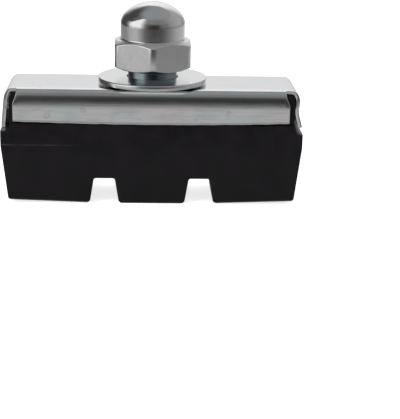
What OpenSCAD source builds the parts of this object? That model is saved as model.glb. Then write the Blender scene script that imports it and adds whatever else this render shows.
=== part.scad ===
// Bicycle rim brake pad: a grooved rubber block in a folded steel shoe, with a stud, a washer and a domed nut.
// Millimetres. Origin at the middle of the braking face, +X along the block, +Z along the stud.

/* [Rubber block] */
// Length of the rubber at its widest, below the shoe
block_l = 39.6; // [34:0.1:60]
// Width of the rubber at its widest, below the shoe
block_w = 11.2; // [8:0.1:16]
// Height of the straight band between the end ledges and the tapered sides
band_h = 1.92; // [0.46:0.01:4.46]
// Taper of the sides and ends of the block, in degrees
taper_a = 5.8; // [0:0.1:10]
// Slope of the two outer lands, which rise away from the middle one, in degrees
land_slope = 1.9; // [0:0.1:4]
// Distance between the middles of the two grooves
groove_pitch = 12.6; // [9:0.1:18]
// Width of a groove at its root
groove_w = 2.75; // [1:0.05:4]
// Depth of a groove below the middle land
groove_h = 3.5; // [1:0.1:6]
// Lean of each groove wall, in degrees
groove_a = 9; // [0:0.5:15]
// Height of the sloped ledge at each end of the block, under the tab
ledge_h = 1.1; // [0.3:0.1:2]

/* [Shoe] */
// Height from the middle land to the top of the shoe
shoe_h = 15.6; // [14:0.1:20]
// Amount that the rubber stands out past each end of the shoe, not counting the flare
end_overhang = 0.55; // [0:0.05:3.3]
// Amount that each side wall stands out past the rubber
wall_proud = 0.25; // [0:0.05:2.65]
// Sheet thickness
sheet_t = 0.55; // [0.4:0.05:1]
// Outside radius of the fold along each side wall
side_fold_r = 0.95; // [0.8:0.05:2]
// Outside radius of the fold at each end tab
end_fold_r = 1.3; // [0.8:0.05:2.5]
// Drop of the side walls below the top, at mid-length
wall_drop = 4.55; // [3:0.05:5]
// Amount that the lower edge of a wall rises towards its ends
wall_rise = 0.3; // [0:0.05:1]
// Drop of the end tabs below the top
tab_drop = 4.9; // [3.5:0.05:5.5]
// Drop from the top to the waist where a tab begins to flare
waist_drop = 2.6; // [2:0.05:3]
// Outward flare at the tip of a tab
tab_flare = 0.5; // [0:0.01:0.8]
// Width of the open slit between a wall and a tab
slit_w = 0.65; // [0.3:0.05:1.5]
// Drop from the top to the middle of the round relief at the upper end of a slit
slit_drop = 0.8; // [0.7:0.05:2]
// Radius of the round relief
relief_r = 1.2; // [0.8:0.05:1.6]

/* [Stud] */
// Diameter of the thread over its crests (M6)
thread_d = 5.9; // [4:0.05:8]
// Length of the threaded end above the shoulder
thread_l = 5.8; // [4:0.1:6.3]
// Bevel at the tip of the thread
tip_bevel = 0.6; // [0.2:0.1:1]
// Diameter of the plain shoulder that the nut stops on
shoulder_d = 6.5; // [6.3:0.05:8]
// Height of the shoulder above the shoe
shoulder_h = 2.05; // [1.5:0.05:5]
// Height of the fine turned groove above the washer
neck_rise = 0.25; // [0.1:0.05:0.5]
// Width and depth of the fine turned groove round the shoulder
neck_cut = 0.15; // [0.05:0.05:0.2]
// Width of the land that the washer rests on, on the bead that the stud is staked with
bead_land = 0.5; // [0.4:0.05:1.6]
// Height of the bead
bead_h = 0.2; // [0.1:0.05:0.5]
// Distance from the flat head under the sheet to the inner faces of the walls
head_margin = 0.6; // [0.3:0.05:1.3]
// Thickness of the flat head
head_t = 1.6; // [1:0.1:3]

/* [Washer] */
// Outside diameter of the washer
washer_d = 14.45; // [11:0.05:18]
// Thickness of the washer
washer_t = 0.65; // [0.4:0.05:1.6]

/* [Domed nut] */
// Width across the flats of the hexagon (M6 size)
nut_af = 10; // [9:0.5:13]
// Height of the hexagon
hex_h = 3.7; // [2.5:0.1:6]
// Angle of the bevels that round the hexagon's corners, in degrees
hex_bevel = 30; // [15:1:35]
// Part of the half-width that stays flat inside the bevels, as a width across
hex_face_d = 9.8; // [8.6:0.1:9.9]
// Diameter of the cap above the hexagon
cap_d = 8.54; // [7.5:0.02:8.6]
// Height of the straight part of the cap
cap_h = 2.1; // [1:0.1:3]
// Radius of the rounded shoulder of the dome
dome_edge_r = 2; // [1.5:0.1:3]
// Height of the dome above the straight part
dome_h = 2.9; // [2.5:0.1:4]
// Depth of the blind bore that is left past the tip of the stud
bore_spare = 0.8; // [0.1:0.1:1.2]

/* [Clearances] */
// Gap between the rubber and the steel round it
seat_gap = 0.04; // [0.02:0.01:0.2]
// Gap between the inner edge of a tab's tip and the sloped ledge under it
ledge_gap = 0.2; // [0.05:0.05:0.5]
// Radial gap between the shoulder and the hole in the shoe
hole_gap = 0.05; // [0.02:0.01:0.2]
// Radial gap between the shoulder and the washer
washer_gap = 0.15; // [0.05:0.01:0.5]
// Radial gap between the thread's crests and the nut's bore
thread_gap = 0.05; // [0.02:0.01:0.15]

/* [Hidden] */
$fn = 96;
cut = 1;
deep = 60;
shoe_l = block_l - 2 * end_overhang;
shoe_w = block_w + 2 * wall_proud;
sheet_under_z = shoe_h - sheet_t;
core_top_z = sheet_under_z - seat_gap;
wall_foot_z = shoe_h - wall_drop;
tab_foot_z = shoe_h - tab_drop;
washer_z = shoe_h + bead_h;
neck_z = washer_z + washer_t + neck_rise;
nut_z = shoe_h + shoulder_h;
block_top_z = wall_foot_z - seat_gap;
tab_inside = shoe_l / 2 - sheet_t;
tab_half_w = shoe_w / 2 - side_fold_r;
core_half_l = tab_inside - seat_gap;
core_half_w = shoe_w / 2 - sheet_t - seat_gap;
ledge_slope = ledge_h / (block_l / 2 - core_half_l);
ledge_top_z = tab_foot_z - ledge_gap + (tab_inside + tab_flare - core_half_l) * ledge_slope;
taper_z = ledge_top_z - ledge_h - band_h;
head_d = shoe_w - 2 * (sheet_t + head_margin);
bead_d = shoulder_d + 2 * (washer_gap + bead_land);
bore_depth = thread_l + bore_spare;
face_half_l = block_l / 2 - taper_z * tan(taper_a);
face_half_w = block_w / 2 - taper_z * tan(taper_a);
land_rise = (face_half_l - groove_pitch / 2) * tan(land_slope);
wall_end = tab_inside - slit_w;
hex_corner_r = nut_af / 2 / cos(30);
// The dome is two arcs that meet smoothly: a rounded edge and a flatter crown centred on the axis.
edge_x = cap_d / 2 - dome_edge_r;
crown_lift = dome_h - dome_edge_r;
crown_sink = (edge_x * edge_x - crown_lift * crown_lift) / (2 * crown_lift);
crown_r = crown_sink + dome_h;

// Turns an outline drawn in X and Z into a bar that runs along Y.
module along_y(width) {
    rotate([90, 0, 0])
        linear_extrude(height = width, center = true)
            children();
}

// Turns an outline drawn in Y and Z into a bar that runs along X.
module along_x(length) {
    rotate([90, 0, 90])
        linear_extrude(height = length, center = true)
            children();
}

// What lies outside the rounded top corners of an outline of this half-width and height.
module outside_corners(half, top_z, corner_r) {
    for (side = [0, 1])
        mirror([side, 0])
            translate([half - corner_r, top_z - corner_r])
                difference() {
                    square(corner_r + cut);
                    circle(r = corner_r);
                }
}

// Upright outline with rounded top corners, reaching down to foot_z.
module arch(half, top_z, corner_r, foot_z) {
    difference() {
        translate([-half, foot_z]) square([2 * half, top_z - foot_z]);
        outside_corners(half, top_z, corner_r);
    }
}

// Lengthwise outline of the shoe: an arch whose sides flare from the waist to the tips of the tabs.
module tab_outline(inset) {
    half = shoe_l / 2 - inset;
    top_z = shoe_h - inset;
    waist_z = shoe_h - waist_drop;
    difference() {
        polygon([
            [-half, top_z],
            [half, top_z],
            [half, waist_z],
            [half + tab_flare, tab_foot_z],
            [-half - tab_flare, tab_foot_z],
            [-half, waist_z]
        ]);
        outside_corners(half, top_z, end_fold_r - inset);
    }
}

// Everything inside the outer or, with inset, the inner skin of the shoe.
module pan(inset) {
    intersection() {
        along_y(deep) tab_outline(inset);
        along_x(2 * deep) arch(shoe_w / 2 - inset, shoe_h - inset, side_fold_r - inset, tab_foot_z);
    }
}

// Room under the side walls, whose lower edges rise in an arc towards the ends.
module under_walls() {
    arc_r = (wall_end * wall_end + wall_rise * wall_rise) / (2 * wall_rise);
    steps = 12;
    along_y(deep)
        polygon(concat(
            [[tab_inside, tab_foot_z - cut], [-tab_inside, tab_foot_z - cut], [-tab_inside, wall_foot_z + wall_rise]],
            [for (i = [-steps:steps])
                let (x = wall_end * i / steps)
                [x, wall_foot_z + arc_r - sqrt(arc_r * arc_r - x * x)]],
            [[tab_inside, wall_foot_z + wall_rise]]
        ));
}

// Open corners past the ends of the walls, where only the tabs are left, with a round relief in each wall's end.
module open_corners() {
    for (end = [-1, 1])
        for (side = [-1, 1])
            translate([0, side * (tab_half_w + deep / 2), 0]) {
                translate([end * (wall_end + deep / 2), 0, shoe_h])
                    cube([deep, deep, deep], center = true);
                translate([end * tab_inside, 0, shoe_h - slit_drop])
                    rotate([90, 0, 0])
                        cylinder(r = relief_r, h = deep, center = true);
            }
}

module shoe_holder() {
    color([0.78, 0.79, 0.80])
        difference() {
            pan(0);
            translate([0, 0, -cut]) pan(sheet_t);
            pan(sheet_t);
            under_walls();
            open_corners();
            translate([0, 0, shoe_h - 2 * sheet_t])
                cylinder(d = shoulder_d + 2 * hole_gap, h = 3 * sheet_t);
        }
}

// Lengthwise outline of the block: sloped lands, end ledges, and the core that fills the shoe.
module block_side() {
    difference() {
        polygon([
            [-core_half_l, core_top_z],
            [-core_half_l, ledge_top_z],
            [-block_l / 2, ledge_top_z - ledge_h],
            [-block_l / 2, taper_z],
            [-face_half_l, land_rise],
            [-groove_pitch / 2, 0],
            [groove_pitch / 2, 0],
            [face_half_l, land_rise],
            [block_l / 2, taper_z],
            [block_l / 2, ledge_top_z - ledge_h],
            [core_half_l, ledge_top_z],
            [core_half_l, core_top_z]
        ]);
        outside_corners(core_half_l, core_top_z, end_fold_r - sheet_t - seat_gap);
    }
}

// Crosswise outline of the block: tapered sides, and the narrower core between the walls.
module block_end() {
    difference() {
        polygon([
            [-face_half_w, 0],
            [face_half_w, 0],
            [block_w / 2, taper_z],
            [block_w / 2, block_top_z],
            [core_half_w, block_top_z],
            [core_half_w, core_top_z],
            [-core_half_w, core_top_z],
            [-core_half_w, block_top_z],
            [-block_w / 2, block_top_z],
            [-block_w / 2, taper_z]
        ]);
        outside_corners(core_half_w, core_top_z, side_fold_r - sheet_t - seat_gap);
    }
}

module groove() {
    mouth = groove_w / 2 + (groove_h + cut) * tan(groove_a);
    along_y(deep)
        polygon([[-groove_w / 2, groove_h], [groove_w / 2, groove_h], [mouth, -cut], [-mouth, -cut]]);
}

module rubber_block() {
    color([0.09, 0.09, 0.09])
        difference() {
            intersection() {
                along_y(deep) block_side();
                along_x(2 * deep) block_end();
            }
            for (side = [-1, 1])
                translate([side * groove_pitch / 2, 0, 0]) groove();
            translate([0, 0, sheet_under_z - head_t - seat_gap])
                cylinder(d = head_d + 2 * seat_gap, h = head_t + cut);
        }
}

module stud() {
    color([0.62, 0.62, 0.60])
        difference() {
            union() {
                translate([0, 0, sheet_under_z - head_t]) cylinder(d = head_d, h = head_t);
                translate([0, 0, sheet_under_z - head_t]) cylinder(d = shoulder_d, h = head_t + sheet_t + shoulder_h);
                translate([0, 0, shoe_h]) cylinder(d = bead_d, h = bead_h);
                translate([0, 0, nut_z]) cylinder(d = thread_d, h = thread_l - tip_bevel);
                translate([0, 0, nut_z + thread_l - tip_bevel])
                    cylinder(d1 = thread_d, d2 = thread_d - 2 * tip_bevel, h = tip_bevel);
            }
            translate([0, 0, neck_z])
                difference() {
                    cylinder(d = shoulder_d + cut, h = neck_cut);
                    translate([0, 0, -cut]) cylinder(d = shoulder_d - 2 * neck_cut, h = neck_cut + 2 * cut);
                }
        }
}

module flat_washer() {
    color([0.75, 0.77, 0.77])
        translate([0, 0, washer_z])
            difference() {
                cylinder(d = washer_d, h = washer_t);
                translate([0, 0, -cut])
                    cylinder(d = shoulder_d + 2 * washer_gap, h = washer_t + 2 * cut);
            }
}

// Body of revolution that bevels both ends of the hexagon.
module hex_bevels() {
    reach = hex_corner_r + cut;
    drop = (reach - hex_face_d / 2) * tan(hex_bevel);
    rotate_extrude()
        polygon([
            [0, 0],
            [hex_face_d / 2, 0],
            [reach, drop],
            [reach, hex_h - drop],
            [hex_face_d / 2, hex_h],
            [0, hex_h]
        ]);
}

// Half section of the cap: a straight part, then the rounded edge and the crown.
module cap_section() {
    intersection() {
        union() {
            translate([0, -cut]) square([cap_d / 2, cap_h + cut]);
            translate([edge_x, cap_h]) circle(r = dome_edge_r);
            intersection() {
                translate([0, cap_h - crown_sink]) circle(r = crown_r);
                polygon([
                    [0, cap_h - crown_sink],
                    [2 * edge_x, cap_h + crown_sink],
                    [2 * edge_x, cap_h + 2 * dome_h],
                    [0, cap_h + 2 * dome_h]
                ]);
            }
        }
        translate([0, -cut]) square([cap_d, cap_h + 2 * dome_h + cut]);
    }
}

module dome_nut() {
    color([0.70, 0.70, 0.70])
        translate([0, 0, nut_z])
            difference() {
                union() {
                    intersection() {
                        rotate([0, 0, 30]) cylinder(r = hex_corner_r, h = hex_h, $fn = 6);
                        hex_bevels();
                    }
                    translate([0, 0, hex_h]) rotate_extrude() cap_section();
                }
                translate([0, 0, -cut]) cylinder(d = thread_d + 2 * thread_gap, h = bore_depth + cut);
            }
}

rubber_block();
shoe_holder();
stud();
flat_washer();
dome_nut();
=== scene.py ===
import math

import bmesh
import bpy
from mathutils import Euler, Matrix, Vector, noise

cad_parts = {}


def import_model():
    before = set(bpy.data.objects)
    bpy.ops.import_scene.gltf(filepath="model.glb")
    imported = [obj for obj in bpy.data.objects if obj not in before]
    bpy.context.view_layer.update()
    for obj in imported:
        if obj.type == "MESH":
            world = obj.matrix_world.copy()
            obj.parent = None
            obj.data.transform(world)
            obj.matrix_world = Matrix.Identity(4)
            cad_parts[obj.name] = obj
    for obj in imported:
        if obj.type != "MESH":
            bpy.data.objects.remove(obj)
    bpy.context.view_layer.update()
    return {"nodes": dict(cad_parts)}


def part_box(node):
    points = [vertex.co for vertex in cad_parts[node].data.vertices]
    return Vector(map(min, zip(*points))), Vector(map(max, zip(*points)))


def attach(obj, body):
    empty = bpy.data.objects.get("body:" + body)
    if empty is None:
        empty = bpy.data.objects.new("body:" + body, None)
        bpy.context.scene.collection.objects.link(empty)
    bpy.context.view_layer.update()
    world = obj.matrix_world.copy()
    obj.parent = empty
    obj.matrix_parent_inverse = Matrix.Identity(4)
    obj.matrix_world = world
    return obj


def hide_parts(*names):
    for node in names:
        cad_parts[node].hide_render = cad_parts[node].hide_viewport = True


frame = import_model()

MM = 0.001
# Vertices closer than this, in metres, are one.
MERGE_M = 1e-7


def node_box(name):
    """Lowest and highest corner of a CAD node in millimetres."""
    low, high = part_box(name)
    return [c / MM for c in low], [c / MM for c in high]


# Sizes, in millimetres
BLOCK_HIGH = node_box("rubber_block")[1]
SHOE_HIGH = node_box("shoe_holder")[1]
WASHER_LOW, WASHER_HIGH = node_box("flat_washer")
NUT_LOW = node_box("dome_nut")[0]
STUD_LOW, STUD_HIGH = node_box("stud")

# The solids' own sizes that their boxes don't tell: the sheet, the ledges, the grooves and the taper.
SHEET_T = 0.55
BLOCK_TOP = 11.01
GROOVE_ROOT = 3.5
TAPER_Z = 8.0
# Radii of the rubber's edges: below the taper's top, above it, and at the roots of the grooves.
BLOCK_EDGE_R = 0.42
LEDGE_EDGE_R = 0.08
ROOT_R = 0.28
EDGE_SEGMENTS = 4
# Least turn between two faces at an edge that sticks out, and at a groove's root, in degrees.
CONVEX_DEG = 10
ROOT_DEG = 40
# Heights closer than this count as one.
NEAR = 0.03
# Facets at the upper corners: where they start in X, then their foot and head as (distance from the
# middle, Z).
CORNERS = {1: (18.72, (5.6, 9.74), (4.95, 11.05)), -1: (18.95, (5.6, 9.98), (5.2, 10.5))}
# How far the wedges that cut them reach: past each facet, as a share of it, past the sides and past the ends.
WEDGE_PAST = 0.2
WEDGE_SIDE = 0.6
WEDGE_END = 0.2
# Left end ledge: X and Z at the core, Z at the rim, and the length in which the side ledge comes down to it.
LEFT_LEDGE_CORE = (18.67, 10.45)
LEFT_LEDGE_RIM_Z = 10.1
LEFT_LEDGE_RUN = 0.4
LEFT_LEDGE_FALL = 1.5
# Painted highlight along the left part of the crease, a light line where its edge catches light, then where
# its X fades in.
CREASE_Z = TAPER_Z + 0.17
CREASE_HIGHLIGHT_HALF_H = 0.13
CREASE_HIGHLIGHT_FROM = (-8, -13)
# Where the dust and painted light on the upward-facing ledges begin, at the right and the left end.
RIGHT_DUST_AND_LIGHT_FROM = (18.5, 18.8)
LEFT_DUST_AND_LIGHT_FROM = (-19.0, -19.25)

TAB_HALF_W = 4.9
# The fold along each wall as arcs of (radius, angle turned by its end, steps): it springs back a little
# below.
FOLD_ARCS = [(0.98, 78, 9), (4.2, 88, 5), (19.0, 91, 4)]
# The flat top bows down a little before the fold.
CROWN_START = 4.2
CROWN_R = 4.5
# The walls lean in by this many degrees. Their foot rises in an arc, by WALL_RISE at WALL_END.
WALL_LEAN = 1.0
WALL_FOOT = 11.05
WALL_RISE = 0.3
WALL_END = 18.05
SHEET_EDGE_R = 0.26
SHOE_HOLE_R = 3.3
# Outer outline of each tab in X and Z, and where the wall beside it ends: below, and in the relief near
# the top.
TABS = {
    1: {"path": [(17.95, 15.6), (18.5, 15.53), (18.95, 15.25), (19.22, 14.82), (19.34, 14.3), (19.33, 13.7),
                 (19.26, 13.05), (19.31, 12.4), (19.46, 11.8), (19.62, 11.25), (19.75, 10.72)],
        "end": 17.95, "relief_end": 17.47},
    -1: {"path": [(17.95, 15.6), (18.5, 15.53), (18.9, 15.27), (19.18, 14.82), (19.32, 14.3), (19.39, 13.7),
                  (19.46, 13.05), (19.53, 12.3), (19.6, 11.6), (19.66, 11.0), (19.68, 10.36)],
         "end": 18.12, "relief_end": 17.66},
}
RELIEF_Z = (13.5, 15.1)
# The skin's columns: a square patch round the hole, then even steps to where the walls' ends begin to
# differ.
PATCH = 4.2
PATCH_STEPS = 8
PATCH_RINGS = (0.35, 0.7, 1.0)
WALL_SHARED = 16.6
SIDE_STEPS = 16
EDGE_LINES = 3
WALL_STEPS = 5
FOOT_WAVE = 0.07
# Stains on the front wall, as (place, radius).
STAINS = [((-13.6, -5.85, 12.3), 0.6), ((-9.0, -5.85, 12.95), 0.45), ((9.95, -5.85, 12.6), 0.45)]

SHOULDER_R = 3.25
HEAD_R = 4.7
HEAD_T = 1.6
BEAD_R = 3.9
THREAD_R = 2.95
TIP_BEVEL = 0.6
COLLAR_GAP = 0.2
COLLAR_BEVEL = 0.18
STUD_EDGE_R = 0.04
WASHER_HOLE_R = 3.4
# Radii of the washer's edges: inner and outer below, then outer and inner above.
WASHER_EDGES = [0.08, 0.06, 0.16, 0.12]

HEX_HALF = 5.0
HEX_H = 3.7
HEX_FLAT_R = 4.9
HEX_BEVEL = math.radians(30)
HEX_EDGE_R = 0.95
HEX_FILLET_R = 0.22
CRISP_R = 0.02
# Places across half a side of the hexagon, from its middle to its edge, where the edge is rounded.
HEX_EDGE_PLACES = [0.84, 0.87, 0.9, 0.92, 0.94, 0.96, 0.98, 1.0]
CAP_R = 4.27
CAP_H = 2.1
CAP_FOOT_R = 0.2
# Height of one more ring above the cap's foot, which keeps the straight part straight.
CAP_RING = 1.4 * CAP_FOOT_R
# The cap starts to curve in gently, before the tighter edge of the dome.
EASE_R = 6.0
EASE_TURN = math.radians(4)
EASE_STEPS = 6
DOME_EDGE_R = 2.0
DOME_H = 2.9
DOME_STEPS = 28
CROWN_STEPS = 24
BORE_R = 3.0
BORE_DEPTH = 6.6
BORE_BEVEL = 0.3


# Mesh helpers
def fillet(points, radii, steps=4, closed=False):
    """Rounds the corners of an outline. radii is one number, or one per point."""
    count = len(points)
    if not isinstance(radii, (list, tuple)):
        radii = [radii] * count
    out = []
    for i, (x, z) in enumerate(points):
        here = Vector((x, z))
        if not closed and i in (0, count - 1) or radii[i] <= 0:
            out.append((x, z))
            continue
        back = Vector(points[i - 1]) - here
        ahead = Vector(points[(i + 1) % count]) - here
        half = back.angle(ahead) / 2
        if half > math.radians(89.5):
            out.append((x, z))
            continue
        reach = min(radii[i] / math.tan(half), 0.47 * back.length, 0.47 * ahead.length)
        r = reach * math.tan(half)
        middle = (back.normalized() + ahead.normalized()).normalized()
        centre = here + middle * (r / math.sin(half))
        start = here + back.normalized() * reach - centre
        end = here + ahead.normalized() * reach - centre
        turn = start.angle_signed(end)
        for k in range(steps + 1):
            arm = start.copy()
            arm.rotate(Matrix.Rotation(-turn * k / steps, 2))
            out.append(tuple(centre + arm))
    return out


def smooth_curve(points, steps):
    """Curve through 2D points, with this many steps between each two."""
    out = []
    last = len(points) - 1
    for i in range(last):
        before, start, end, after = [Vector(points[min(max(i + k, 0), last)]) for k in (-1, 0, 1, 2)]
        slope = end - before
        bend = 2 * before - 5 * start + 4 * end - after
        twist = 3 * start - before - 3 * end + after
        for s in range(steps):
            t = s / steps
            out.append(tuple(0.5 * (2 * start + slope * t + bend * t * t + twist * t ** 3)))
    out.append(tuple(points[-1]))
    return out


def smooth_step(value, low, high):
    """0 below low and 1 above high, with a smooth change between."""
    t = min(max((value - low) / (high - low), 0), 1)
    return t * t * (3 - 2 * t)


def new_object(name, bm, material, node, closed=True):
    """Turns bm, which is in metres, into a piece that stands for a CAD node."""
    if closed:
        bmesh.ops.recalc_face_normals(bm, faces=bm.faces)
    mesh = bpy.data.meshes.new(name)
    bm.to_mesh(mesh)
    bm.free()
    mesh.polygons.foreach_set("use_smooth", [True] * len(mesh.polygons))
    piece = bpy.data.objects.new(name, mesh)
    bpy.context.scene.collection.objects.link(piece)
    mesh.materials.append(material)
    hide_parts(node)
    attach(piece, "root")
    return piece


def weighted_normals(piece, sharp_deg=None):
    """Keeps flat faces flat beside their rounded edges."""
    if sharp_deg is not None:
        piece.data.set_sharp_from_angle(angle=math.radians(sharp_deg))
    mod = piece.modifiers.new("flat_faces", "WEIGHTED_NORMAL")
    mod.weight = 90
    mod.keep_sharp = True


def rings_to_faces(bm, rings, closed):
    """Joins neighbouring rings of vertices. A ring of one vertex is a point on the axis."""
    pairs = list(zip(rings, rings[1:]))
    if closed:
        pairs.append((rings[-1], rings[0]))
    for a, b in pairs:
        count = max(len(a), len(b))
        for i in range(count):
            j = (i + 1) % count
            corners = [a[i % len(a)], a[j % len(a)], b[j % len(b)], b[i % len(b)]]
            unique = list(dict.fromkeys(corners))
            if len(unique) > 2:
                bm.faces.new(unique)


def lathe(outline, segments=160, closed=False):
    """Turns an outline of (radius, height) round the Z axis."""
    bm = bmesh.new()
    rings = []
    for r, z in outline:
        if r < 1e-6:
            rings.append([bm.verts.new((0, 0, z * MM))])
            continue
        ring = []
        for i in range(segments):
            a = 2 * math.pi * i / segments
            ring.append(bm.verts.new((r * MM * math.cos(a), r * MM * math.sin(a), z * MM)))
        rings.append(ring)
    rings_to_faces(bm, rings, closed)
    return bm


def join_flat_faces(bm):
    """Makes each flat face whole again where it is split into triangles."""
    bmesh.ops.remove_doubles(bm, verts=bm.verts, dist=MERGE_M)
    bmesh.ops.dissolve_limit(bm, angle_limit=math.radians(0.5), verts=bm.verts, edges=bm.edges)


def node_copy(name):
    """A copy of a CAD node's mesh."""
    bm = bmesh.new()
    bm.from_mesh(frame["nodes"][name].data)
    join_flat_faces(bm)
    return bm


def convex_edges(bm, low, high):
    """Edges that stick out and whose upper end lies between these heights."""
    out = []
    for edge in bm.edges:
        top = max(v.co.z for v in edge.verts) / MM
        if low <= top < high and len(edge.link_faces) == 2:
            if edge.calc_face_angle_signed() > math.radians(CONVEX_DEG):
                out.append(edge)
    return out


def root_edges(bm):
    """Edges along the roots of the grooves."""
    out = []
    for edge in bm.edges:
        level = all(abs(v.co.z / MM - GROOVE_ROOT) < NEAR for v in edge.verts)
        if level and len(edge.link_faces) == 2 and edge.calc_face_angle_signed() < -math.radians(ROOT_DEG):
            out.append(edge)
    return out


def round_edges(bm, edges, radius):
    """Rounds these edges of bm."""
    bmesh.ops.bevel(bm, geom=edges, offset=radius * MM, segments=EDGE_SEGMENTS, profile=0.5, affect="EDGES",
                    clamp_overlap=False)


# Node helpers for materials
class Nodes:
    """A short way to write shader nodes."""

    def __init__(self, tree):
        self.tree = tree

    def add(self, kind, **settings):
        """A new node of this kind."""
        node = self.tree.nodes.new(kind)
        for key, value in settings.items():
            setattr(node, key, value)
        return node

    def put(self, value, socket):
        """Links an output to a socket, or sets the socket to a plain value."""
        if isinstance(value, bpy.types.NodeSocket):
            self.tree.links.new(value, socket)
        else:
            socket.default_value = value

    def math(self, operation, a, b=0.0):
        """One step of arithmetic."""
        node = self.add("ShaderNodeMath", operation=operation)
        self.put(a, node.inputs[0])
        self.put(b, node.inputs[1])
        return node.outputs[0]

    def ramp(self, value, low, high, out_low=0.0, out_high=1.0):
        """A smooth step of value between low and high."""
        node = self.add("ShaderNodeMapRange", interpolation_type="SMOOTHSTEP")
        self.put(value, node.inputs["Value"])
        for key, number in zip(("From Min", "From Max", "To Min", "To Max"), (low, high, out_low, out_high)):
            node.inputs[key].default_value = number
        return node.outputs["Result"]

    def blend(self, factor, a, b):
        """Blends two numbers."""
        node = self.add("ShaderNodeMix", data_type="FLOAT")
        for value, socket in zip((factor, a, b), (node.inputs[0], node.inputs[2], node.inputs[3])):
            self.put(value, socket)
        return node.outputs[0]

    def mix(self, factor, a, b):
        """Blends two colours."""
        node = self.add("ShaderNodeMix", data_type="RGBA")
        self.put(factor, node.inputs[0])
        for value, socket in ((a, node.inputs[6]), (b, node.inputs[7])):
            self.put((*value, 1) if isinstance(value, tuple) else value, socket)
        return node.outputs[2]


class Graph(Nodes):
    """The nodes of one material, with the object's coordinates in millimetres."""

    def __init__(self, name):
        self.material = bpy.data.materials.new(name)
        self.material.use_nodes = True
        super().__init__(self.material.node_tree)
        self.shader = self.tree.nodes["Principled BSDF"]
        self.place = self.add("ShaderNodeTexCoord").outputs["Object"]

    def stretch(self, scale, offset=(0, 0, 0)):
        """Object coordinates in millimetres, scaled and moved."""
        node = self.add("ShaderNodeMapping")
        self.put(self.place, node.inputs["Vector"])
        node.inputs["Scale"].default_value = [s / MM for s in scale]
        node.inputs["Location"].default_value = offset
        return node.outputs["Vector"]

    def noise(self, vector, scale, detail=3.0, rough=0.55):
        """Soft random cloud between 0 and 1."""
        node = self.add("ShaderNodeTexNoise")
        self.put(vector, node.inputs["Vector"])
        node.inputs["Scale"].default_value = scale
        node.inputs["Detail"].default_value = detail
        node.inputs["Roughness"].default_value = rough
        return node.outputs["Fac"]

    def spot(self, place, radius, ragged):
        """1 at this place in millimetres and 0 past the radius, with a ragged edge."""
        node = self.add("ShaderNodeVectorMath", operation="DISTANCE")
        self.put(self.place, node.inputs[0])
        node.inputs[1].default_value = [c * MM for c in place]
        away = self.math("MULTIPLY", node.outputs["Value"], 1 / MM)
        away = self.math("ADD", away, self.math("MULTIPLY", ragged, 3 * radius))
        return self.ramp(away, 2.6 * radius, 1.9 * radius)

    def axis(self, which):
        """One object coordinate in millimetres."""
        node = self.add("ShaderNodeSeparateXYZ")
        self.put(self.place, node.inputs[0])
        return self.math("MULTIPLY", node.outputs["XYZ".index(which)], 1 / MM)

    def facing(self, which):
        """One component of the surface's normal."""
        node = self.add("ShaderNodeSeparateXYZ")
        geometry = self.add("ShaderNodeTexCoord")
        self.put(geometry.outputs["Normal"], node.inputs[0])
        return node.outputs["XYZ".index(which)]

    def bump(self, height, depth_mm, strength=1.0):
        """Relief that is depth_mm deep."""
        node = self.add("ShaderNodeBump")
        node.inputs["Strength"].default_value = strength
        node.inputs["Distance"].default_value = depth_mm * MM
        self.put(height, node.inputs["Height"])
        self.put(node.outputs["Normal"], self.shader.inputs["Normal"])

    def finish(self, color, rough, metallic=0.0):
        """The material, with its colour and roughness in place."""
        self.put(color, self.shader.inputs["Base Color"])
        self.put(rough, self.shader.inputs["Roughness"])
        self.shader.inputs["Metallic"].default_value = metallic
        return self.material


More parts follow.
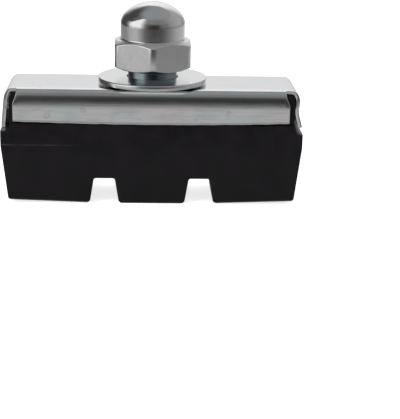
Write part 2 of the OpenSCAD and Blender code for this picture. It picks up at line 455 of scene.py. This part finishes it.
# Materials
def rubber_material():
    """Moulded black rubber, dusty on the braking face and the ends; the upward-facing ledges carry dust and
    painted light, lightest at the right end, and the crease a painted highlight.
    """
    g = Graph("black_rubber")
    fine = g.noise(g.stretch((1, 1, 1)), 7.0, 5.0, 0.65)
    cloud = g.noise(g.stretch((1, 1, 1)), 0.35, 4.0)
    smear = g.noise(g.stretch((0.35, 1, 1.4)), 1.1, 4.0)
    height = g.axis("Z")
    up = g.facing("Z")
    color = g.mix(g.ramp(cloud, 0.3, 0.7), (0.0054, 0.0042, 0.0062), (0.0102, 0.0083, 0.0112))
    color = g.mix(g.ramp(height, 9.0, 6.0, 0.0, 0.7), color, (0.0106, 0.009, 0.0102))
    color = g.mix(g.ramp(fine, 0.62, 0.75, 0.0, 0.2), color, (0.03, 0.028, 0.03))
    # Painted highlight: a light line along the crease, where its edge catches light.
    below = g.ramp(height, CREASE_Z - CREASE_HIGHLIGHT_HALF_H, CREASE_Z)
    above = g.ramp(height, CREASE_Z + CREASE_HIGHLIGHT_HALF_H, CREASE_Z)
    crease = g.math("MULTIPLY", g.math("MULTIPLY", below, above), g.ramp(g.axis("X"), *CREASE_HIGHLIGHT_FROM))
    crease = g.math("MULTIPLY", crease, g.ramp(smear, 0.3, 0.6, 0.3, 1.0))
    color = g.mix(crease, color, (0.045, 0.042, 0.043))
    face = g.math("MULTIPLY", g.ramp(up, -0.55, -0.95), g.ramp(smear, 0.25, 0.7, 0.55, 1.0))
    color = g.mix(face, color, (0.17, 0.165, 0.155))
    ends = g.ramp(g.math("ABSOLUTE", g.facing("X")), 0.8, 0.97)
    color = g.mix(g.math("MULTIPLY", ends, g.ramp(smear, 0.3, 0.7, 0.15, 0.6)), color, (0.075, 0.072, 0.07))
    # The ledges that face up: dust, with painted light that is strongest at the right end.
    ledge = g.math("MULTIPLY", g.ramp(up, 0.35, 0.6), g.ramp(smear, 0.3, 0.6, 0.6, 1.0))
    right = g.ramp(g.axis("X"), *RIGHT_DUST_AND_LIGHT_FROM)
    ledge = g.math("MULTIPLY", ledge, g.math("ADD", right, g.ramp(g.axis("X"), *LEFT_DUST_AND_LIGHT_FROM)))
    ledge_dust_and_light = g.mix(right, (0.13, 0.127, 0.124), (0.32, 0.31, 0.31))
    color = g.mix(ledge, color, ledge_dust_and_light)
    g.shader.inputs["Specular IOR Level"].default_value = 0.2
    g.bump(fine, 0.02, 0.5)
    return g.finish(color, g.ramp(fine, 0.2, 0.8, 0.5, 0.68))


def zinc_material():
    """Bright zinc plate on rolled sheet: tinted in clouds, streaked along the shoe, pitted and stained."""
    g = Graph("zinc_sheet")
    streak = g.noise(g.stretch((0.06, 1.6, 1.6)), 3.2, 4.0, 0.6)
    cloud = g.noise(g.stretch((0.5, 1, 1)), 0.5, 3.0)
    tint = g.noise(g.stretch((0.4, 0.9, 0.9), (3, 1, 2)), 0.6, 3.0)
    pits = g.noise(g.stretch((1, 1, 1)), 2.6, 1.0)
    fine = g.noise(g.stretch((1, 1, 1)), 1.9, 4.0, 0.7)
    color = g.mix(g.ramp(tint, 0.35, 0.65), (0.815, 0.855, 0.86), (0.875, 0.845, 0.855))
    color = g.mix(g.ramp(streak, 0.45, 0.7, 0.0, 0.16), color, (0.68, 0.67, 0.68))
    color = g.mix(g.ramp(cloud, 0.5, 0.72, 0.0, 0.3), color, (0.74, 0.73, 0.73))
    color = g.mix(g.ramp(pits, 0.7, 0.78, 0.0, 0.5), color, (0.30, 0.28, 0.26))
    for place, radius in STAINS:
        whole = g.spot(place, radius, fine)
        core = g.spot(place, 0.55 * radius, fine)
        color = g.mix(g.math("MULTIPLY", whole, 0.42), color, (0.48, 0.43, 0.36))
        color = g.mix(g.math("MULTIPLY", core, 0.55), color, (0.92, 0.89, 0.80))
    rough = g.math("ADD", g.ramp(streak, 0.3, 0.7, 0.1, 0.13), g.ramp(cloud, 0.3, 0.7, -0.01, 0.03))
    g.bump(g.math("ADD", streak, g.math("MULTIPLY", cloud, 0.6)), 0.004, 0.5)
    return g.finish(color, rough, 1.0)


def washer_material():
    """Bright plated steel, a little softer than the shoe."""
    g = Graph("washer_steel")
    fine = g.noise(g.stretch((1, 1, 1)), 4.0, 4.0)
    cloud = g.noise(g.stretch((1, 1, 1)), 0.6, 2.0)
    color = g.mix(cloud, (0.80, 0.81, 0.82), (0.88, 0.89, 0.89))
    g.bump(fine, 0.003, 0.5)
    return g.finish(color, g.ramp(fine, 0.3, 0.7, 0.14, 0.2), 1.0)


def stud_material():
    """Turned steel, darkened by painted shade for the shade it sits in between the nut and the washer."""
    g = Graph("stud_steel")
    turned = g.noise(g.stretch((0.05, 0.05, 6)), 2.0, 2.0)
    cloud = g.noise(g.stretch((1, 1, 1)), 0.9, 3.0)
    # The dark colours here are painted shade, standing in for the shade between the nut and the washer.
    color = g.mix(turned, (0.20, 0.245, 0.26), (0.30, 0.345, 0.36))
    g.bump(turned, 0.002, 0.4)
    return g.finish(color, g.ramp(cloud, 0.3, 0.7, 0.1, 0.18), 1.0)


def nut_material():
    """Polished dome over brushed faces, duller on the turned bevels."""
    g = Graph("polished_nut")
    hex_top = NUT_LOW[2] + HEX_H
    polish = g.ramp(g.axis("Z"), hex_top + 0.05, hex_top + 0.2)
    brushed = g.noise(g.stretch((1.2, 1.2, 0.5)), 3.0, 4.0)
    cloud = g.noise(g.stretch((1, 1, 1)), 0.6, 3.0)
    lines = g.noise(g.stretch((0.04, 0.04, 3)), 2.5, 3.0)
    color = g.mix(brushed, (0.80, 0.79, 0.79), (0.88, 0.87, 0.868))
    color = g.mix(g.ramp(cloud, 0.35, 0.65), color, (0.86, 0.865, 0.88))
    matte = g.ramp(brushed, 0.3, 0.7, 0.15, 0.22)
    matte = g.blend(g.ramp(g.facing("Z"), 0.5, 0.8), matte, 0.38)
    g.bump(brushed, 0.004, 0.4)
    return g.finish(color, g.blend(polish, matte, g.ramp(lines, 0.3, 0.7, 0.05, 0.08)), 1.0)


# Pieces
def lower_left_ledge(bm):
    """The end ledge sits lower under the left tab, which hangs lower than the right one."""
    core_x, core_z = LEFT_LEDGE_CORE
    cut = ((core_x - LEFT_LEDGE_RUN) * -MM, 0, 0)
    geom = bm.verts[:] + bm.edges[:] + bm.faces[:]
    bmesh.ops.bisect_plane(bm, geom=geom, dist=1e-8, plane_co=cut, plane_no=(1, 0, 0))
    for vert in bm.verts:
        x, z = -vert.co.x / MM, vert.co.z / MM
        if abs(z - BLOCK_TOP) < NEAR and x > core_x - NEAR:
            vert.co.z = core_z * MM
        elif x > BLOCK_HIGH[0] - NEAR and z > BLOCK_TOP - LEFT_LEDGE_FALL:
            vert.co.z = LEFT_LEDGE_RIM_Z * MM


def corner_wedges():
    """What is cut off the four upper corners of the block: a facet that leans back from each side face."""
    bm = bmesh.new()
    for end, (start, foot, head) in CORNERS.items():
        past = (Vector(head) - Vector(foot)) * WEDGE_PAST
        low, high = Vector(foot) - past, Vector(head) + past
        outside = BLOCK_HIGH[1] + WEDGE_SIDE
        section = [low, Vector((outside, low.y)), Vector((outside, high.y)), high]
        for side in (-1, 1):
            rings = [[bm.verts.new((end * x * MM, side * p.x * MM, p.y * MM)) for p in section]
                     for x in (start, BLOCK_HIGH[0] + WEDGE_END)]
            for i in range(4):
                j = (i + 1) % 4
                bm.faces.new([rings[0][i], rings[0][j], rings[1][j], rings[1][i]])
            bm.faces.new(rings[0])
            bm.faces.new(rings[1])
    bmesh.ops.recalc_face_normals(bm, faces=bm.faces)
    return bm


def cut_corners(bm):
    """The block less its corner wedges."""
    pair = []
    for name, source in (("whole", bm), ("wedges", corner_wedges())):
        mesh = bpy.data.meshes.new(name)
        source.to_mesh(mesh)
        source.free()
        pair.append(bpy.data.objects.new(name, mesh))
        bpy.context.scene.collection.objects.link(pair[-1])
    cut = pair[0].modifiers.new("corners", "BOOLEAN")
    cut.operation = "DIFFERENCE"
    cut.object = pair[1]
    shaped = bmesh.new()
    shaped.from_object(pair[0], bpy.context.evaluated_depsgraph_get())
    for piece in pair:
        bpy.data.meshes.remove(piece.data)
    join_flat_faces(shaped)
    return shaped


def rubber_block():
    """The CAD block with moulded edges: rounded where they stick out, and at the roots of the grooves."""
    bm = node_copy("rubber_block")
    lower_left_ledge(bm)
    bm = cut_corners(bm)
    crease = TAPER_Z - 0.1
    round_edges(bm, convex_edges(bm, -1, crease), BLOCK_EDGE_R)
    round_edges(bm, convex_edges(bm, crease, BLOCK_TOP - NEAR), LEDGE_EDGE_R)
    round_edges(bm, root_edges(bm), ROOT_R)
    piece = new_object("rubber", bm, rubber_material(), "rubber_block")
    weighted_normals(piece, 50)


def tab_points(end):
    """Outer outline of one tab past the flat top, from the fold to the tip."""
    return [(end * x, z) for x, z in smooth_curve(TABS[end]["path"], 3)]


def wall_end(end, z):
    """Where the side wall ends at this height: the relief near the top is cut a little further in."""
    tab = TABS[end]
    return tab["end"] + (tab["relief_end"] - tab["end"]) * smooth_step(z, *RELIEF_Z)


def shoe_columns():
    """Lengthwise outline of the outer skin from the left tip to the right tip, as (x, z)."""
    top = SHOE_HIGH[2]
    side = (WALL_SHARED - PATCH) / SIDE_STEPS
    flat = [-WALL_SHARED + side * i for i in range(SIDE_STEPS)]
    flat += [-PATCH + 2 * PATCH * i / PATCH_STEPS for i in range(PATCH_STEPS + 1)]
    flat += [PATCH + side * i for i in range(1, SIDE_STEPS + 1)]
    ends = {}
    for end in (-1, 1):
        stop = wall_end(end, top)
        ends[end] = [(end * (WALL_SHARED + stop) / 2, top), (end * stop, top)] + tab_points(end)
    return ends[-1][::-1] + [(x, top) for x in flat] + ends[1]


def shoe_lines():
    """Crosswise places of the skin's lines: close together where the top bows down at both edges."""
    middle = [-CROWN_START + 2 * CROWN_START * j / PATCH_STEPS for j in range(PATCH_STEPS + 1)]
    bow = [CROWN_START + (TAB_HALF_W - CROWN_START) * j / EDGE_LINES for j in range(1, EDGE_LINES + 1)]
    return [-y for y in reversed(bow)] + middle + bow


def crown_drop(y):
    """How far the top has come down at this distance from the middle."""
    past = max(abs(y) - CROWN_START, 0)
    return CROWN_R - math.sqrt(CROWN_R ** 2 - past ** 2)


def wall_rows(x, side):
    """Places down the outside of a side wall at x, as (distance from the middle, z)."""
    y, z = TAB_HALF_W, SHOE_HIGH[2] - crown_drop(TAB_HALF_W)
    turned = math.asin((TAB_HALF_W - CROWN_START) / CROWN_R)
    rows = []
    for radius, until, steps in FOLD_ARCS:
        for i in range(steps):
            step = (math.radians(until) - turned) / (steps - i)
            y += radius * (math.sin(turned + step) - math.sin(turned))
            z -= radius * (math.cos(turned) - math.cos(turned + step))
            turned += step
            rows.append((y, z))
    foot = WALL_FOOT + WALL_RISE * (x / WALL_END) ** 2
    foot += FOOT_WAVE * noise.noise(Vector((0.7 * x, 5.0 * side, 0.0)))
    start = z
    for i in range(1, WALL_STEPS + 1):
        z = start + (foot - start) * i / WALL_STEPS
        rows.append((y - (start - z) * math.sin(math.radians(WALL_LEAN)), z))
    return rows


def shoe_skin():
    """Outer skin of the folded sheet: the top with its two tabs, then the two side walls."""
    bm = bmesh.new()
    columns = shoe_columns()
    lines = shoe_lines()
    grid = [[bm.verts.new((x * MM, y * MM, (z - crown_drop(y)) * MM)) for y in lines] for x, z in columns]
    first = len(tab_points(-1)) + 2 + SIDE_STEPS
    past = EDGE_LINES + PATCH_STEPS
    for i in range(len(columns) - 1):
        for j in range(len(lines) - 1):
            if not (first <= i < first + PATCH_STEPS and EDGE_LINES <= j < past):
                bm.faces.new([grid[i][j], grid[i + 1][j], grid[i + 1][j + 1], grid[i][j + 1]])
    hole_patch(bm, [row[EDGE_LINES:past + 1] for row in grid[first:first + PATCH_STEPS + 1]])
    for side in (-1, 1):
        wall_skin(bm, grid, columns, first, side)
    return bm


def hole_patch(bm, grid):
    """Fills the square round the stud's hole with rings that turn from a square into a circle."""
    last = PATCH_STEPS
    border = [grid[i][0] for i in range(last)] + [grid[last][j] for j in range(last)]
    border += [grid[last - i][last] for i in range(last)] + [grid[0][last - j] for j in range(last)]
    rings = [border]
    for step in PATCH_RINGS:
        ring = []
        for vert in border:
            flat = Vector((vert.co.x, vert.co.y))
            spot = flat.lerp(flat.normalized() * SHOE_HOLE_R * MM, step)
            ring.append(bm.verts.new((spot.x, spot.y, vert.co.z)))
        rings.append(ring)
    for a, b in zip(rings, rings[1:]):
        for i in range(len(border)):
            j = (i + 1) % len(border)
            bm.faces.new([a[i], a[j], b[j], b[i]])
    for vert in [v for row in grid[1:last] for v in row[1:last]]:
        bm.verts.remove(vert)


def wall_skin(bm, grid, columns, first, side):
    """One side wall, joined to the top where its fold starts. first is the first column of the patch."""
    low, high = first - SIDE_STEPS - 2, first + PATCH_STEPS + SIDE_STEPS + 2
    edge = 0 if side < 0 else -1
    rows = [[grid[i][edge] for i in range(low, high + 1)]]
    for k in range(len(wall_rows(0, side))):
        row = []
        for i in range(low, high + 1):
            x = columns[i][0]
            y, z = wall_rows(x, side)[k]
            end = 1 if x > 0 else -1
            if i in (low, high):
                x = end * wall_end(end, z)
                z = wall_rows(x, side)[k][1]
            elif i in (low + 1, high - 1):
                x = end * (WALL_SHARED + wall_end(end, z)) / 2
            row.append(bm.verts.new((x * MM, side * y * MM, z * MM)))
        rows.append(row)
    for a, b in zip(rows, rows[1:]):
        for i in range(len(a) - 1):
            corners = [a[i], a[i + 1], b[i + 1], b[i]]
            bm.faces.new(corners if side > 0 else corners[::-1])


def shoe():
    """The folded steel sheet, with its cut edges rounded."""
    piece = new_object("shoe", shoe_skin(), zinc_material(), "shoe_holder", closed=False)
    thick = piece.modifiers.new("sheet", "SOLIDIFY")
    thick.thickness = SHEET_T * MM
    thick.offset = -1
    thick.use_even_offset = True
    edges = piece.modifiers.new("cut_edges", "BEVEL")
    edges.width = SHEET_EDGE_R * MM
    edges.segments = 3
    edges.limit_method = "ANGLE"
    edges.angle_limit = math.radians(50)
    weighted_normals(piece)


def washer():
    """A stamped washer: rounded on its upper edge and crisp below."""
    low, high = WASHER_LOW[2], WASHER_HIGH[2]
    rim = WASHER_HIGH[0]
    outline = fillet([(WASHER_HOLE_R, low), (rim, low), (rim, high), (WASHER_HOLE_R, high)],
                     WASHER_EDGES, closed=True)
    bm = lathe(outline, closed=True)
    piece = new_object("washer", bm, washer_material(), "flat_washer")
    weighted_normals(piece)


def stud():
    """Head, bead, shoulder with its bevel under the nut, and the threaded end."""
    head_low = STUD_LOW[2]
    shoe_top = SHOE_HIGH[2]
    bead_top = WASHER_LOW[2]
    collar = NUT_LOW[2] - COLLAR_GAP
    points = [
        (0, head_low), (HEAD_R, head_low), (HEAD_R, head_low + HEAD_T), (SHOULDER_R, head_low + HEAD_T),
        (SHOULDER_R, shoe_top), (BEAD_R, shoe_top), (BEAD_R, bead_top), (SHOULDER_R, bead_top),
        (SHOULDER_R, collar - COLLAR_BEVEL), (SHOULDER_R - COLLAR_BEVEL, collar), (THREAD_R, collar),
        (THREAD_R, STUD_HIGH[2] - TIP_BEVEL), (THREAD_R - TIP_BEVEL, STUD_HIGH[2]), (0, STUD_HIGH[2])]
    outline = fillet(points, STUD_EDGE_R, 2)
    piece = new_object("stud_turned", lathe(outline, 128), stud_material(), "stud")
    weighted_normals(piece)


def hex_radius(angle):
    """Distance from the axis to the side of the hexagon, with its edges rounded."""
    sector = math.pi / 3
    a = (angle + sector / 2) % sector - sector / 2
    sharp = HEX_HALF / math.cos(a)
    corner = HEX_HALF / math.cos(sector / 2)
    r = HEX_EDGE_R
    inner = corner - r / math.cos(sector / 2)
    off = sector / 2 - abs(a)
    reach = inner * math.cos(off) + math.sqrt(max(0, r * r - (inner * math.sin(off)) ** 2))
    tangent = math.atan2(inner * math.sin(sector / 2), HEX_HALF)
    return reach if abs(a) > tangent else sharp


def hex_angles():
    """Angles round the nut, closer together at its edges."""
    angles = []
    sector = math.pi / 3
    steps = [i / 10 for i in range(-8, 9)]
    spread = [-place for place in reversed(HEX_EDGE_PLACES[:-1])] + steps + HEX_EDGE_PLACES
    for side in range(6):
        angles += [side * sector + place * sector / 2 for place in spread]
    return sorted(angles)


def dome_outline():
    """Cap from its foot on the hexagon to the top of the dome."""
    edge_x = CAP_R - EASE_R + (EASE_R - DOME_EDGE_R) * math.cos(EASE_TURN)
    ease_z = HEX_H + CAP_H - (EASE_R - DOME_EDGE_R) * math.sin(EASE_TURN)
    lift = DOME_H - DOME_EDGE_R
    sink = (edge_x * edge_x - lift * lift) / (2 * lift)
    crown_r = sink + DOME_H
    top = HEX_H + CAP_H
    meet = math.atan2(sink, edge_x)
    out = []
    for i in range(EASE_STEPS):
        a = EASE_TURN * i / EASE_STEPS
        out.append((CAP_R - EASE_R + EASE_R * math.cos(a), ease_z + EASE_R * math.sin(a)))
    for i in range(DOME_STEPS):
        a = EASE_TURN + (meet - EASE_TURN) * i / DOME_STEPS
        out.append((edge_x + DOME_EDGE_R * math.cos(a), top + DOME_EDGE_R * math.sin(a)))
    for i in range(CROWN_STEPS + 1):
        a = meet + (math.pi / 2 - meet) * i / CROWN_STEPS
        out.append((crown_r * math.cos(a), top - sink + crown_r * math.sin(a)))
    out[-1] = (0, out[-1][1])
    return out


def nut_outline(angle, dome):
    """Outline of the nut at this angle, from its bore's roof round the hexagon to the top of the dome."""
    rim = hex_radius(angle)
    drop = (rim - HEX_FLAT_R) * math.tan(HEX_BEVEL)
    bore = [(BORE_R, BORE_DEPTH), (BORE_R, BORE_BEVEL), (BORE_R + BORE_BEVEL, 0)]
    hexagon = [(HEX_FLAT_R, 0), (rim, drop), (rim, HEX_H - drop), (HEX_FLAT_R, HEX_H)]
    points = bore + hexagon + [(CAP_R, HEX_H), dome[0]]
    radii = [0, CRISP_R, CRISP_R, CRISP_R, HEX_FILLET_R, HEX_FILLET_R, CRISP_R, CAP_FOOT_R, 0]
    return fillet(points, radii)[:-1] + [(CAP_R, HEX_H + CAP_RING)] + dome


def dome_nut():
    """Bevelled hexagon and domed cap in one skin, with the blind bore below."""
    bm = bmesh.new()
    base = NUT_LOW[2]
    angles = hex_angles()
    dome = dome_outline()
    rings = []
    for level in zip(*[nut_outline(angle, dome) for angle in angles]):
        ring = []
        for angle, (r, z) in zip(angles, level):
            ring.append(bm.verts.new((r * MM * math.cos(angle), r * MM * math.sin(angle), (base + z) * MM)))
        rings.append(ring)
    roof = bm.verts.new((0, 0, (base + BORE_DEPTH) * MM))
    rings_to_faces(bm, [[roof]] + rings, False)
    bmesh.ops.remove_doubles(bm, verts=rings[-1], dist=MERGE_M)
    piece = new_object("nut", bm, nut_material(), "dome_nut")
    weighted_normals(piece)


# Stage
# Brightness round the object, as (azimuth in degrees, level): 0 is the front and positive is to the right.
# The walls stand at the horizon, and the upper levels are what they have turned into at 40 degrees.
WALL_LEVELS = [(-180, 0.72), (-166, 0.72), (-154, 0.35), (-147, 0.1), (-135, 0.06), (-108, 0.08),
               (-97, 0.3), (-88, 0.8), (-78, 0.97), (-48, 0.97), (-38, 0.55), (-28, 0.18), (-14, 0.06),
               (2, 0.035), (16, 0.04), (32, 0.13), (52, 0.18), (70, 0.29), (95, 0.37), (120, 0.4),
               (138, 0.28), (148, 0.45), (158, 0.7), (180, 0.72)]
UPPER_LEVELS = [(-180, 1.0), (-165, 0.95), (-150, 0.2), (-138, 0.07), (-104, 0.06), (-94, 0.3),
                (-82, 0.97), (-46, 0.95), (-36, 0.5), (-24, 0.22), (0, 0.2), (35, 0.19), (60, 0.24),
                (90, 0.34), (120, 0.37), (142, 0.38), (160, 0.9), (180, 1.0)]
LOW_LEVELS = [(-180, 0.75), (-165, 0.6), (-150, 0.35), (-135, 0.24), (-108, 0.26), (-90, 0.4),
              (-72, 0.45), (-58, 0.43), (-44, 0.28), (-30, 0.14), (-14, 0.08), (2, 0.06), (30, 0.07),
              (45, 0.12), (60, 0.2), (75, 0.28), (92, 0.38), (112, 0.44), (138, 0.5), (152, 0.72),
              (166, 0.9), (180, 0.9)]
TABLE_LEVELS = [(-180, 0.9), (-165, 0.85), (-148, 0.3), (-135, 0.18), (-102, 0.2), (-88, 0.36),
                (-65, 0.5), (-42, 0.52), (-25, 0.5), (20, 0.49), (45, 0.38), (70, 0.27), (92, 0.34),
                (120, 0.44), (145, 0.6), (158, 0.9), (180, 0.92)]
TOP_LEVELS = [(-180, 0.26), (-158, 0.16), (-140, 0.06), (-100, 0.06), (-75, 0.14), (-40, 0.25),
              (0, 0.24), (60, 0.25), (120, 0.3), (155, 0.28), (180, 0.26)]
# Elevation at which the walls end, in hundreds of degrees: the softbox's upper edge slants.
WALL_TOPS = [(-180, 0.45), (-150, 0.36), (-110, 0.15), (-85, 0.13), (-50, 0.5), (-20, 0.46), (60, 0.42),
             (180, 0.45)]
OVERHEAD = (0.27, 0.285, 0.295)
DARK_GAP = (0.03, 0.03, 0.03)
DARK_GAP_STRENGTH = 0.32
DIM_TABLE = (0.3, 0.3, 0.3)
NEAR_TABLE = (0.65, 0.65, 0.65)
# Elevations in degrees between which each band turns into the next: up from the horizon, then down from it.
UPPER_FROM = (2, 30)
TOP_PAST_WALLS = (0, 9)
OVERHEAD_FROM = (52, 75)
DARK_GAP_FROM = (-2, -5)
LOW_FROM = (-5.5, -8.8)
TABLE_FROM = (-9, -15.5)
DIM_TABLE_FROM = (-16.5, -21)
NEAR_TABLE_FROM = (-48, -60)
# The sky's level for what doesn't shine, the floor, what makes it white to the camera, and the one lamp.
SKY_LEVEL = 0.75
FLOOR_COLOR = (0.8, 0.8, 0.8)
FLOOR_GLOW = 0.76
FLOOR_HALF_M = 3.0
LAMP_PLACE = (-220, -160, 320)
LAMP_TARGET = (0, 0, 10)
LAMP_SIDE = 220
LAMP_WATTS = 0.9
# The photograph's viewpoint, found by fitting the pad's outline: place, turn in degrees, and lens.
VIEW_PLACE = (-1.886, -171.036, 50.456)
VIEW_TURN = (72.9035, -1.1757, -2.5254)
VIEW_LENS = 111.7


def floor_material():
    """Plain and pale: white to the camera, and clear to mirrors, which see the studio's table instead."""
    material = bpy.data.materials.new("floor")
    material.use_nodes = True
    nodes = Nodes(material.node_tree)
    nodes.tree.nodes.clear()
    path = nodes.add("ShaderNodeLightPath")
    diffuse = nodes.add("ShaderNodeBsdfDiffuse")
    diffuse.inputs["Color"].default_value = (*FLOOR_COLOR, 1)
    glow = nodes.add("ShaderNodeEmission")
    nodes.put(nodes.math("MULTIPLY", path.outputs["Is Camera Ray"], FLOOR_GLOW), glow.inputs["Strength"])
    both = nodes.add("ShaderNodeAddShader")
    nodes.put(diffuse.outputs[0], both.inputs[0])
    nodes.put(glow.outputs[0], both.inputs[1])
    clear = nodes.add("ShaderNodeBsdfTransparent")
    choice = nodes.add("ShaderNodeMixShader")
    nodes.put(path.outputs["Is Glossy Ray"], choice.inputs[0])
    nodes.put(both.outputs[0], choice.inputs[1])
    nodes.put(clear.outputs[0], choice.inputs[2])
    nodes.put(choice.outputs[0], nodes.add("ShaderNodeOutputMaterial").inputs["Surface"])
    return material


def floor():
    """A pale floor that keeps the object's shadow."""
    bm = bmesh.new()
    bmesh.ops.create_grid(bm, x_segments=8, y_segments=8, size=FLOOR_HALF_M)
    mesh = bpy.data.meshes.new("floor")
    bm.to_mesh(mesh)
    bm.free()
    mesh.materials.append(floor_material())
    plane = bpy.data.objects.new("floor", mesh)
    bpy.context.scene.collection.objects.link(plane)


def azimuth_levels(nodes, azimuth, stops):
    """A level that changes with the azimuth, from (degrees, level) stops."""
    ramp = nodes.add("ShaderNodeValToRGB")
    nodes.put(nodes.math("ADD", nodes.math("MULTIPLY", azimuth, 1 / 360), 0.5), ramp.inputs[0])
    bands = ramp.color_ramp.elements
    for _ in range(len(stops) - 2):
        bands.new(0.5)
    for band, (angle, level) in zip(bands, stops):
        band.position = (angle + 180) / 360
        band.color = (level, level, level, 1)
    return ramp.outputs[0]


def studio(nodes):
    """What metal sees: a white backdrop, a softbox at the left front, dark flags, and a pale table."""
    direction = nodes.add("ShaderNodeSeparateXYZ")
    nodes.put(nodes.add("ShaderNodeTexCoord").outputs["Generated"], direction.inputs[0])
    x, y, z = direction.outputs
    degree = 180 / math.pi
    azimuth = nodes.math("MULTIPLY", nodes.math("ARCTAN2", x, nodes.math("MULTIPLY", y, -1)), degree)
    height = nodes.math("MULTIPLY", nodes.math("ARCSINE", z), degree)
    bands = (WALL_LEVELS, UPPER_LEVELS, TOP_LEVELS, LOW_LEVELS, TABLE_LEVELS, WALL_TOPS)
    walls, upper, top, low, table, edge = [azimuth_levels(nodes, azimuth, levels) for levels in bands]
    view = nodes.mix(nodes.ramp(height, *UPPER_FROM), walls, upper)
    above = nodes.math("SUBTRACT", height, nodes.math("MULTIPLY", edge, 100))
    view = nodes.mix(nodes.ramp(above, *TOP_PAST_WALLS), view, top)
    view = nodes.mix(nodes.ramp(height, *OVERHEAD_FROM), view, OVERHEAD)
    view = nodes.mix(nodes.ramp(height, *DARK_GAP_FROM, 0.0, DARK_GAP_STRENGTH), view, DARK_GAP)
    view = nodes.mix(nodes.ramp(height, *LOW_FROM), view, low)
    view = nodes.mix(nodes.ramp(height, *TABLE_FROM), view, table)
    view = nodes.mix(nodes.ramp(height, *DIM_TABLE_FROM), view, DIM_TABLE)
    return nodes.mix(nodes.ramp(height, *NEAR_TABLE_FROM), view, NEAR_TABLE)


def world():
    """White to the camera, plain soft light on the object, and the studio in what shines."""
    sky = bpy.data.worlds.new("studio")
    bpy.context.scene.world = sky
    sky.use_nodes = True
    nodes = Nodes(sky.node_tree)
    background = sky.node_tree.nodes["Background"]
    path = nodes.add("ShaderNodeLightPath")
    plain = nodes.mix(path.outputs["Is Camera Ray"], (SKY_LEVEL,) * 3, (1.0, 1.0, 1.0))
    nodes.put(nodes.mix(path.outputs["Is Glossy Ray"], plain, studio(nodes)), background.inputs["Color"])
    background.inputs["Strength"].default_value = 1.0


def lamp():
    """One soft square light from the left front, which mirrors don't see."""
    data = bpy.data.lights.new("key", "AREA")
    data.shape = "SQUARE"
    data.size = LAMP_SIDE * MM
    data.energy = LAMP_WATTS
    light = bpy.data.objects.new("key", data)
    light.visible_glossy = False
    bpy.context.scene.collection.objects.link(light)
    light.location = Vector(LAMP_PLACE) * MM
    aim = (Vector(LAMP_TARGET) - Vector(LAMP_PLACE)) * MM
    light.rotation_euler = aim.to_track_quat("-Z", "Y").to_euler()


def camera():
    """The photograph's viewpoint."""
    data = bpy.data.cameras.new("photo_view")
    data.sensor_width = 36
    data.lens = VIEW_LENS
    data.clip_start = 0.01
    view = bpy.data.objects.new("photo_view", data)
    bpy.context.scene.collection.objects.link(view)
    view.location = Vector(VIEW_PLACE) * MM
    view.rotation_euler = Euler([math.radians(a) for a in VIEW_TURN])
    bpy.context.scene.camera = view


bpy.context.scene.view_settings.view_transform = "Standard"
camera()
world()
floor()
lamp()
rubber_block()
shoe()
washer()
stud()
dome_nut()
